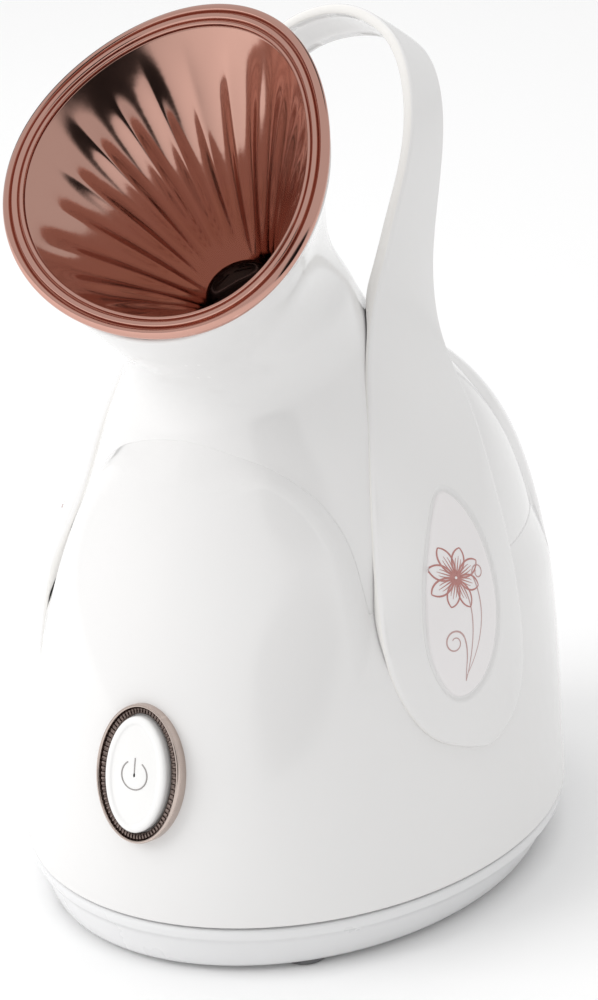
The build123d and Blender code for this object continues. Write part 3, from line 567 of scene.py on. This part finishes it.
def build_tray():
    """Base tray: thin shadow line under the seam, upright band, then the undercut down to the feet."""
    grid = []
    for z, half_x, half_y, y in TRAY_SECTION:
        row = [half_x * np.cos(turns), y + half_y * np.sin(turns), np.full_like(turns, z)]
        grid.append(np.stack(row, axis=-1))
    return grid_piece("base_tray_skin", grid[::-1], tray_white, "housing", ["base_tray"])


build_tray()


# ---- handle -----------------------------------------------------------------------------------------
def mirrored(stations):
    """Stations of the whole handle, from the right tip over the top to the left tip."""
    left = [((-f[0], f[1], f[2]), (-r[0], r[1], r[2]), rise, thick) for f, r, rise, thick in stations[-2::-1]]
    return stations + left


all_stations = mirrored(HANDLE_STATIONS)
front_edge_at = natural_spline([station[0] for station in all_stations])
rear_edge_at = natural_spline([station[1] for station in all_stations])
rise_at = natural_spline([station[2] for station in all_stations])
thick_at = natural_spline([station[3] for station in all_stations])


def handle_rows():
    """Station numbers along the handle, close together around the badges and at the feet."""
    fine = np.linspace(0, len(all_stations) - 1, 12000)
    middle = (front_edge_at(fine) + rear_edge_at(fine)) / 2
    steps = np.linalg.norm(np.diff(middle, axis=0), axis=1)
    pitch = np.where(middle[1:, 2] < FINE_BELOW, FINE_PITCH, COARSE_PITCH)
    count = np.concatenate([[0], np.cumsum(steps / pitch)])
    return np.interp(np.arange(0, int(count[-1]) + 1) * count[-1] / int(count[-1]), count, fine)


def surface_tree(*pieces):
    """Ray-cast tree over several pieces, in metres."""
    points, faces = [], []
    for piece in pieces:
        first = len(points)
        points += [vertex.co.copy() for vertex in piece.data.vertices]
        faces += [[first + i for i in polygon.vertices] for polygon in piece.data.polygons]
    return BVHTree.FromPolygons(points, faces)


def outline_points(count):
    """Badge outline as a closed curve through its points."""
    looped = BADGE_OUTLINE[-3:] + BADGE_OUTLINE + BADGE_OUTLINE[:3]
    at = natural_spline(looped)
    return at(3 + np.arange(count) * len(BADGE_OUTLINE) / count)


def distance_to_loop(y, z, loop):
    """Signed distance in side view to a closed outline, positive outside."""
    best = np.full(y.shape, 1e9)
    inside = np.zeros(y.shape, bool)
    for a, b in zip(loop, np.roll(loop, -1, axis=0)):
        along = b - a
        share = np.clip(((y - a[0]) * along[0] + (z - a[1]) * along[1]) / (along @ along), 0, 1)
        best = np.minimum(best, np.hypot(y - a[0] - share * along[0], z - a[1] - share * along[1]))
        straddles = (a[1] > z) != (b[1] > z)
        height = along[1] if abs(along[1]) > 1e-12 else 1e-12
        inside ^= straddles & (y < a[0] + (z - a[1]) * along[0] / height)
    return np.where(inside, -best, best)


def running_mean(values, reach):
    """Mean of each value and its neighbours."""
    padded = np.pad(values, reach, mode="edge")
    return np.convolve(padded, np.ones(2 * reach + 1) / (2 * reach + 1), mode="valid")


FACE_POINTS = 124
rows = handle_rows()
front_edge, rear_edge = front_edge_at(rows), rear_edge_at(rows)
rise, thick = rise_at(rows), thick_at(rows)
middle_line = (front_edge + rear_edge) / 2
along_line = np.gradient(middle_line, axis=0)
chord = rear_edge - front_edge
chord_length = np.linalg.norm(chord, axis=1)
across_line = chord / chord_length[:, None]
out_line = -np.cross(along_line, across_line)
out_line /= np.linalg.norm(out_line, axis=1)[:, None]
housing_tree = surface_tree(body, neck)


def reach_to_housing(edge):
    """How far each edge point stands off the housing, measured inwards, or NOT_MET."""
    found = []
    for point, out in zip(spot(edge), out_line):
        reach = housing_tree.ray_cast(Vector(point + out * RAY_START), Vector(-out), RAY_REACH)[3]
        found.append(NOT_MET if reach is None else (reach - RAY_START) * 1000)
    return np.array(found)


def edge_depth(edge):
    """Depth of the side wall under an edge, which stops short of the housing."""
    hit = reach_to_housing(edge)
    depth = np.where(hit < NOT_MET, np.maximum(hit - HANDLE_GAP, HANDLE_ROUND + HANDLE_LEAST_EDGE), NOT_MET)
    return running_mean(np.minimum(depth, thick), 3), hit


front_depth, front_hit = edge_depth(front_edge)
rear_depth, rear_hit = edge_depth(rear_edge)
corner = np.minimum(HANDLE_ROUND, 0.3 * chord_length)


def section_points(offset, depth):
    """Points of the section at a distance from the front edge and a depth under the outer face."""
    share = offset / chord_length
    crown = rise * 4 * share * (1 - share)
    return front_edge + offset[:, None] * across_line + (crown - depth)[:, None] * out_line


def handle_grid(recessed):
    """Rows of section points along the handle, with or without the badge pockets."""
    columns = []
    for angle in np.linspace(0, math.pi / 2, 7)[:-1]:
        columns.append(section_points(corner * (1 - math.cos(angle)), corner * (1 - math.sin(angle))))
    for share in np.linspace(0, 1, FACE_POINTS):
        columns.append(section_points(corner + (chord_length - 2 * corner) * share, np.zeros_like(corner)))
    for angle in np.linspace(math.pi / 2, 0, 7)[1:]:
        rear = chord_length - corner * (1 - math.cos(angle))
        columns.append(section_points(rear, corner * (1 - math.sin(angle))))
    if recessed:
        loop = outline_points(200)
        for k, column in enumerate(columns):
            gap = distance_to_loop(column[:, 1], column[:, 2], loop)
            pocket = BADGE_DEPTH * smooth((POCKET_REACH - gap) / POCKET_WALL)
            columns[k] = column - pocket[:, None] * out_line
    back = np.minimum(BACK_SETBACK, 0.3 * chord_length)
    ease = np.minimum(BACK_EASE, 0.1 * chord_length)
    width = chord_length
    columns += [section_points(width, rear_depth - ease), section_points(width - ease, rear_depth),
                section_points(width - back, rear_depth), section_points(width - back, thick)]
    for share in (0.8, 0.6, 0.4, 0.2):
        columns.append(section_points(width * share, thick))
    columns += [section_points(back, thick), section_points(back, front_depth),
                section_points(ease, front_depth), section_points(np.zeros_like(back), front_depth - ease)]
    return np.stack(columns, axis=1)


def build_handle():
    """Handle with cream edges, and undersides painted near-black as shade where it lies close to the housing.
    """
    grid = handle_grid(True)
    piece = grid_piece("handle_strap", grid, pearl, "housing", ["handle"], capped=True)
    piece.data.materials.append(cream)
    piece.data.materials.append(painted_gap_shade)
    count = grid.shape[1]
    face_end = FACE_POINTS + 12
    # Rows where the housing lies close under an edge; the handle's underside there gets painted shade.
    painted_shade_rows = front_hit < thick + 1
    painted_shade_rows_rear = rear_hit < thick + 1
    for polygon in piece.data.polygons:
        if len(polygon.vertices) > 4:
            continue
        row, column = divmod(polygon.index, count)
        if column >= count - 2 or column <= 1:
            polygon.material_index = 1
        if face_end + 1 <= column < face_end + 6 and painted_shade_rows_rear[row]:
            polygon.material_index = 2
        if face_end + 6 <= column < count - 2 and painted_shade_rows[row]:
            polygon.material_index = 2
    turn_outward(piece)
    return piece


handle = build_handle()
blank_grid = handle_grid(False)
blank_faces = grid_faces(blank_grid.shape[0], blank_grid.shape[1])
blank_tree = BVHTree.FromPolygons([Vector(p) for p in spot(blank_grid.reshape(-1, 3))], blank_faces)


def on_side(tree, side, y, z, lift):
    """Point in millimetres where a tree's surface is met from one side, raised by lift."""
    start = Vector(spot((side * 100, y, z)))
    hit, normal = tree.ray_cast(start, Vector((-side, 0, 0)))[:2]
    if hit is None:
        hit, normal = blank_tree.ray_cast(start, Vector((-side, 0, 0)))[:2]
    if normal.x * side < 0:
        normal = -normal
    return (np.array(hit) - ORIGIN) * 1000 + np.array(normal) * lift


# Share of the way out from the badge's middle, and depth under the petal's face.
BADGE_PROFILE = [(0.02, 0.34), (0.15, 0.34), (0.3, 0.33), (0.45, 0.32), (0.6, 0.30), (0.75, 0.27),
                 (0.86, 0.25), (0.92, 0.26), (0.95, 0.30), (0.97, 0.38), (0.985, 0.52), (0.995, 0.72),
                 (1.0, 0.9)]


def build_badge(side, name, node):
    """Thin crowned badge in its pocket."""
    loop = outline_points(180)
    middle = np.array(BADGE_MIDDLE, float)
    spokes = loop - middle
    spokes *= (1 - BADGE_GAP / np.linalg.norm(spokes, axis=1))[:, None]
    grid = []
    for share, depth in BADGE_PROFILE:
        grid.append([on_side(blank_tree, side, *(middle + spoke * share), -depth) for spoke in spokes])
    hub = on_side(blank_tree, side, *middle, -BADGE_SINK)
    points = np.concatenate([np.array(grid).reshape(-1, 3), [hub]])
    count = len(spokes)
    faces = grid_faces(len(grid), count) + [(len(points) - 1, (k + 1) % count, k) for k in range(count)]
    piece = mesh_piece(name, points, faces, badge_white, "housing", [node])
    turn_outward(piece)
    return piece


PRINT_LIFT = 0.035


def ribbon(tree, side, path, widths):
    """Two rows of points along a stroke on the side of a badge."""
    path = np.asarray(path, float)
    ahead_of = np.gradient(path, axis=0)
    sideways = np.stack([-ahead_of[:, 1], ahead_of[:, 0]], axis=1)
    sideways /= np.linalg.norm(sideways, axis=1)[:, None] + 1e-9
    rails = []
    for sign in (1, -1):
        rail = path + sign * sideways * np.asarray(widths)[:, None] / 2
        rails.append([on_side(tree, side, y, z, PRINT_LIFT) for y, z in rail])
    return rails


def bezier(points, count):
    """Cubic curve through four control points."""
    points = np.asarray(points, float)
    t = np.linspace(0, 1, count)[:, None]
    a, b, c, d = points
    return (1 - t) ** 3 * a + 3 * t * (1 - t) ** 2 * b + 3 * t ** 2 * (1 - t) * c + t ** 3 * d


def curl(centre, start_radius, end_radius, start_angle, sweep, count=40):
    """Spiral that opens or closes evenly."""
    angle = start_angle + sweep * np.linspace(0, 1, count)
    radius = start_radius + (end_radius - start_radius) * np.linspace(0, 1, count)
    return np.stack([centre[0] + radius * np.cos(angle), centre[1] + radius * np.sin(angle)], axis=1)


FLOWER_CENTRE = (-15.0, 96.3)
FLOWER_PETALS = 8
PETAL_LENGTH, PETAL_SHORTER = 8.9, 0.8
FLOWER_TURN = 12


def flower_strokes():
    """Plain line flower: eight pointed petals, each with two veins, as paths with their widths."""
    strokes = []
    centre = np.array(FLOWER_CENTRE)
    for k in range(FLOWER_PETALS):
        angle = math.radians(FLOWER_TURN + 360 / FLOWER_PETALS * k)
        length = PETAL_LENGTH - PETAL_SHORTER * (k % 2)
        ahead_of = np.array([math.cos(angle), math.sin(angle)])
        sideways = np.array([-ahead_of[1], ahead_of[0]])
        for sign in (1, -1):
            line = bezier([centre + ahead_of * 0.6, centre + ahead_of * length * 0.45 + sign * sideways * 3.0,
                           centre + ahead_of * length * 0.85 + sign * sideways * 2.2,
                           centre + ahead_of * length], 22)
            strokes.append((line, 0.34 + 0.16 * np.sin(np.linspace(0, math.pi, 22))))
        for sign in (1, 0, -1):
            reach = 0.72 - 0.08 * abs(sign)
            vein = bezier([centre + ahead_of * 0.4, centre + ahead_of * length * 0.3 + sign * sideways * 0.7,
                           centre + ahead_of * length * 0.5 + sign * sideways * 1.0,
                           centre + ahead_of * length * reach + sign * sideways * 0.8], 14)
            strokes.append((vein, np.linspace(0.5, 0.12, 14)))
    return strokes


def stem_strokes():
    """Two stems from the foot of the badge, each ending in a curl."""
    long_stem = bezier([(-20.2, 69.0), (-15.5, 77), (-11.5, 86), (-13.6, 93)], 40)
    second = bezier([(-19.6, 70.4), (-12.5, 77), (-7.4, 85), (-9.3, 94.6)], 40)
    second_curl = curl((-7.1, 95.2), 2.3, 0.8, math.radians(190), -math.radians(430))
    low_stem = bezier([(-20.2, 69.0), (-19.4, 73), (-17.2, 76), (-17.8, 80.6)], 24)
    low_curl = curl((-21.2, 80.2), 3.4, 1.0, math.radians(8), math.radians(480))
    return [(long_stem, np.linspace(0.2, 0.42, 40)), (second, np.linspace(0.16, 0.4, 40)),
            (second_curl, np.linspace(0.42, 0.3, 40)), (low_stem, np.linspace(0.2, 0.45, 24)),
            (low_curl, np.linspace(0.5, 0.26, 40))]


def build_print(side, name, badge, strokes, material):
    """Flat ribbons that lie on a badge."""
    tree = surface_tree(badge)
    points, faces = [], []
    for path, widths in strokes:
        left, right = ribbon(tree, side, path, widths)
        first = len(points)
        points += left + right
        count = len(left)
        for k in range(first, first + count - 1):
            faces.append((k, k + 1, k + count + 1, k + count))
    return mesh_piece(name, points, faces, material, "housing")


for side, word in ((1, "right"), (-1, "left")):
    badge = build_badge(side, "badge_face_" + word, "badge_" + word)
    build_print(side, "badge_flower_" + word, badge, flower_strokes(), print_rose)
    build_print(side, "badge_stems_" + word, badge, stem_strokes(), print_stem)


# ---- nozzle ------------------------------------------------------------------------------------------
def flute(turn):
    """Lobes between inward ridges, from 0 on a ridge to 1 in the middle of a lobe."""
    return np.sqrt(np.sin(FLUTES * turn / 2) ** 2 + FLUTE_SOFT)


def funnel_rows(shares, turn, thick_wall, depth):
    """Fluted rows of the funnel from throat to rim."""
    u = np.asarray(shares)[:, None]
    rim = rim_point(turn, RIM_INNER_RADIUS + thick_wall, 0.0)
    radius = THROAT_RADIUS + thick_wall
    throat = in_frame(throat_frame, radius * np.sin(turn), radius * np.cos(turn), 0.0)
    radial = in_frame(rim_frame, np.sin(turn), np.cos(turn), 0.0) - rim_frame[0]
    fade = smooth(u / FLUTE_RISE) * (1 - smooth((u - FLUTE_FADE) / (1 - FLUTE_FADE)))
    push = depth * fade * (flute(turn)[None, :] - FLUTE_LEVEL)
    bow = FUNNEL_BOW * np.sin(math.pi * u)
    return throat + (rim - throat) * u[..., None] + bow[..., None] * rim_frame[3] + push[..., None] * radial


def build_funnel():
    """Funnel wall, inside and outside, with its collar."""
    turn = np.linspace(0, 2 * math.pi, FLUTES * 24, endpoint=False)
    shares = np.linspace(0, 1, 90)
    bore = [(THROAT_RADIUS + 0.8, -COLLAR_LENGTH), (THROAT_RADIUS + 0.1, -COLLAR_LENGTH + 0.2),
            (THROAT_RADIUS + 0.05, -0.8)]
    grid = [in_frame(throat_frame, r * np.sin(turn), r * np.cos(turn), z) for r, z in bore]
    grid += list(funnel_rows(shares, turn, 0.0, FLUTE_DEPTH))
    grid += list(funnel_rows(shares[::-2], turn, FUNNEL_WALL, 0.5 * FLUTE_DEPTH))
    collar = [(COLLAR_OUTER, -0.4), (COLLAR_OUTER, -COLLAR_LENGTH + 0.4), (10.4, -COLLAR_LENGTH)]
    grid += [in_frame(throat_frame, r * np.sin(turn), r * np.cos(turn), z) for r, z in collar]
    nodes = ["nozzle_funnel"]
    turn_outward(grid_piece("nozzle_cone", grid, rose_shaded_flutes, "nozzle", nodes, rolled=True))


def closed_spline(points, per_span):
    """Smooth closed section through its points."""
    looped = list(points[-3:]) + list(points) + list(points[:4])
    at = natural_spline(looped)
    return at(3 + np.arange(len(points) * per_span) / per_span)


def build_trim_ring():
    """Rolled ring with two grooves round the rim."""
    turn = np.linspace(0, 2 * math.pi, 400, endpoint=False)
    section = closed_spline(RING_SECTION, 4)
    grid = [rim_point(turn, RIM_RADIUS + offset, height) for offset, height in section]
    nodes = ["nozzle_trim_ring"]
    turn_outward(grid_piece("nozzle_rim", grid, rose, "nozzle", nodes, rolled=True))


build_funnel()
build_trim_ring()


# ---- button group -------------------------------------------------------------------------------------
def oval_row(half_x, height, count, half_y=None, wave=0.0):
    """Oval in the button's plane."""
    angle = np.linspace(0, 2 * math.pi, count, endpoint=False)
    if half_y is None:
        half_y = CAP_HALF[1] + (half_x - CAP_HALF[0]) * OVAL_GROWTH
    return in_frame(button_frame, half_x * np.cos(angle), half_y * np.sin(angle), height + wave)


def build_bezel():
    """Polished outer edge and the smoked channel inside it."""
    count = TEETH * TOOTH_COLUMNS
    grid = [oval_row(half, height, count) for half, height in BEZEL_PROFILE]
    piece = grid_piece("button_bezel_ring", grid, smoke, "housing", ["button_bezel"])
    piece.data.materials.append(bright)
    for polygon in piece.data.polygons:
        if polygon.index // count < BEZEL_BRIGHT_ROWS:
            polygon.material_index = 1


def build_light_ring():
    """Ribbed ring that lies in the bezel's channel."""
    count = TEETH * TOOTH_COLUMNS
    phase = (np.arange(count) % TOOTH_COLUMNS) / TOOTH_COLUMNS
    tooth = np.where(phase < 0.5, 1.0, 0.0)
    grid = [oval_row(half, height, count, wave=wave * tooth) for half, height, wave in LIGHT_RING_PROFILE]
    piece = grid_piece("button_light_ring", grid, smoke, "housing", ["light_ring"])
    for polygon in piece.data.polygons:
        polygon.use_smooth = False


def build_cap():
    """Button cap with a raised edge and a dished face."""
    count = 200
    grid = [oval_row(half_x, height, count, half_y) for half_x, half_y, height in CAP_PROFILE]
    grid_piece("button_cap_face", grid, cap_white, "button", ["button_cap"])


def curve_piece(name, paths, radius, material, body):
    """Round lines through points in millimetres."""
    curve = bpy.data.curves.new(name, "CURVE")
    curve.dimensions = "3D"
    curve.bevel_depth = radius / 1000
    curve.bevel_resolution = 3
    curve.use_fill_caps = True
    for path in paths:
        spline = curve.splines.new("POLY")
        spline.points.add(len(path) - 1)
        for point, target in zip(spline.points, spot(path)):
            point.co = (*target, 1)
    curve.materials.append(material)
    piece = bpy.data.objects.new(name, curve)
    bpy.context.scene.collection.objects.link(piece)
    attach(piece, body)


def build_symbol():
    """Power symbol sunk into the face of the cap."""
    angle = math.pi / 2 + np.radians(np.linspace(SYMBOL_GAP, 360 - SYMBOL_GAP, 60))
    ring = in_frame(button_frame, SYMBOL_RADIUS * np.cos(angle), SYMBOL_RADIUS * np.sin(angle), SYMBOL_HEIGHT)
    bar = in_frame(button_frame, np.zeros(12), np.linspace(0.6, 4.7, 12), SYMBOL_HEIGHT + 0.02)
    curve_piece("power_symbol", [ring, bar], SYMBOL_LINE, symbol_grey, "button")


build_bezel()
build_light_ring()
build_cap()
build_symbol()


# ---- stage, lights and camera -----------------------------------------------------------------------
FLOOR_CELLS, FLOOR_HALF = 40, 6000.0
WORLD_STRENGTH = 0.74
LIT_POINT = (0, 0, 0.12)
# name, place, width, height, power
LAMPS = [("key", (-1.2, -1.1, 1.2), 1.2, 1.4, 17),
         ("top", (-0.2, 0.2, 2.0), 1.6, 1.6, 10)]
MIRROR_POINT = (0, -0.04, 0.21)
# name, place, width, height, shade
FLAGS = [("flag_front", (0.8, -0.86, 0.3), 0.95, 0.8, 0.006),
         ("flag_back", (0.16, 0.85, 0.85), 0.85, 0.65, 0.05),
         ("flag_side", (-1.0, 0.75, 0.25), 0.62, 0.72, 0.03)]
FLAG_SOLID = 0.7
CAMERA_AZIMUTH, CAMERA_ELEVATION, CAMERA_ROLL = math.radians(31.71), math.radians(22.18), math.radians(3.68)
CAMERA_SHIFT = (5.28, 95.25)
CAMERA_DISTANCE = 1031.0
CAMERA_LENS = 128.43
SENSOR_WIDTH = 36


def build_floor():
    """Large pale floor that the feet stand on."""
    ticks = np.linspace(-FLOOR_HALF, FLOOR_HALF, FLOOR_CELLS)
    floor_z = -ORIGIN[2] * 1000
    grid = [[(x, y, floor_z) for x in ticks] for y in ticks]
    mesh = bpy.data.meshes.new("floor")
    faces = grid_faces(FLOOR_CELLS, FLOOR_CELLS, around=False)
    mesh.from_pydata(spot(np.array(grid).reshape(-1, 3)).tolist(), [], faces)
    mesh.materials.append(surface("floor_paint", (0.93, 0.93, 0.93), 0.75, scale=3, tint=0.01, bump=0.01))
    floor = bpy.data.objects.new("floor", mesh)
    bpy.context.scene.collection.objects.link(floor)


def aim(thing, place, target):
    """Puts a thing at a place, looking at a target."""
    thing.location = Vector(place)
    thing.rotation_euler = (Vector(target) - Vector(place)).to_track_quat("-Z", "Y").to_euler()


def area_light(name, place, width, height, power):
    """Rectangular lamp that lights the object but doesn't show in reflections."""
    light = bpy.data.lights.new(name, "AREA")
    light.shape = "RECTANGLE"
    light.size, light.size_y = width, height
    light.energy = power
    lamp = bpy.data.objects.new(name, light)
    bpy.context.scene.collection.objects.link(lamp)
    aim(lamp, place, LIT_POINT)
    lamp.visible_glossy = False


def felt(name, shade, x, y):
    """Dark felt that thins out towards the edge of a card with half sizes x and y."""
    material = surface(name, (shade, shade * 0.9, shade * 0.9), 0.9)
    nodes, links = material.node_tree.nodes, material.node_tree.links
    place = nodes.new("ShaderNodeTexCoord")
    share = nodes.new("ShaderNodeVectorMath")
    share.operation = "MULTIPLY"
    share.inputs[1].default_value = (1 / x, 1 / y, 0)
    reach = nodes.new("ShaderNodeVectorMath")
    reach.operation = "LENGTH"
    cover = nodes.new("ShaderNodeMapRange")
    cover.inputs["From Min"].default_value = FLAG_SOLID
    cover.inputs["From Max"].default_value = 1.0
    cover.inputs["To Min"].default_value = 1.0
    cover.inputs["To Max"].default_value = 0.0
    links.new(place.outputs["Object"], share.inputs[0])
    links.new(share.outputs["Vector"], reach.inputs[0])
    links.new(reach.outputs["Value"], cover.inputs["Value"])
    links.new(cover.outputs["Result"], nodes["Principled BSDF"].inputs["Alpha"])
    return material


def dark_flag(name, place, width, height, shade):
    """Dark card that only shows in reflections."""
    mesh = bpy.data.meshes.new(name)
    x, y = width / 2, height / 2
    mesh.from_pydata([(-x, -y, 0), (x, -y, 0), (x, y, 0), (-x, y, 0)], [], [(0, 1, 2, 3)])
    mesh.materials.append(felt(name + "_felt", shade, x, y))
    card = bpy.data.objects.new(name, mesh)
    bpy.context.scene.collection.objects.link(card)
    aim(card, place, MIRROR_POINT)
    card.visible_camera = False
    card.visible_diffuse = False
    card.visible_shadow = False


def build_world():
    """Even white surroundings."""
    world = bpy.data.worlds.new("studio")
    world.use_nodes = True
    world.node_tree.nodes["Background"].inputs["Color"].default_value = (1, 1, 1, 1)
    world.node_tree.nodes["Background"].inputs["Strength"].default_value = WORLD_STRENGTH
    bpy.context.scene.world = world


def build_camera():
    """Camera that looks at the object's upright middle from the front right, rolled a little."""
    az, el, roll = CAMERA_AZIMUTH, CAMERA_ELEVATION, CAMERA_ROLL
    back = np.array([math.sin(az) * math.cos(el), -math.cos(az) * math.cos(el), math.sin(el)])
    right = np.array([math.cos(az), math.sin(az), 0])
    up = np.cross(back, right)
    place = spot(CAMERA_SHIFT[0] * right + CAMERA_SHIFT[1] * up + CAMERA_DISTANCE * back)
    x_axis = math.cos(roll) * right - math.sin(roll) * up
    y_axis = math.sin(roll) * right + math.cos(roll) * up
    data = bpy.data.cameras.new("camera")
    data.lens = CAMERA_LENS
    data.sensor_width = SENSOR_WIDTH
    data.clip_start, data.clip_end = 0.05, 60
    camera = bpy.data.objects.new("camera", data)
    bpy.context.scene.collection.objects.link(camera)
    frame_matrix = Matrix((x_axis, y_axis, back)).transposed().to_4x4()
    frame_matrix.translation = Vector(place)
    camera.matrix_world = frame_matrix
    bpy.context.scene.camera = camera


build_floor()
build_world()
build_camera()
for lamp in LAMPS:
    area_light(*lamp)
for flag in FLAGS:
    dark_flag(*flag)

bpy.context.scene.view_settings.view_transform = "Standard"
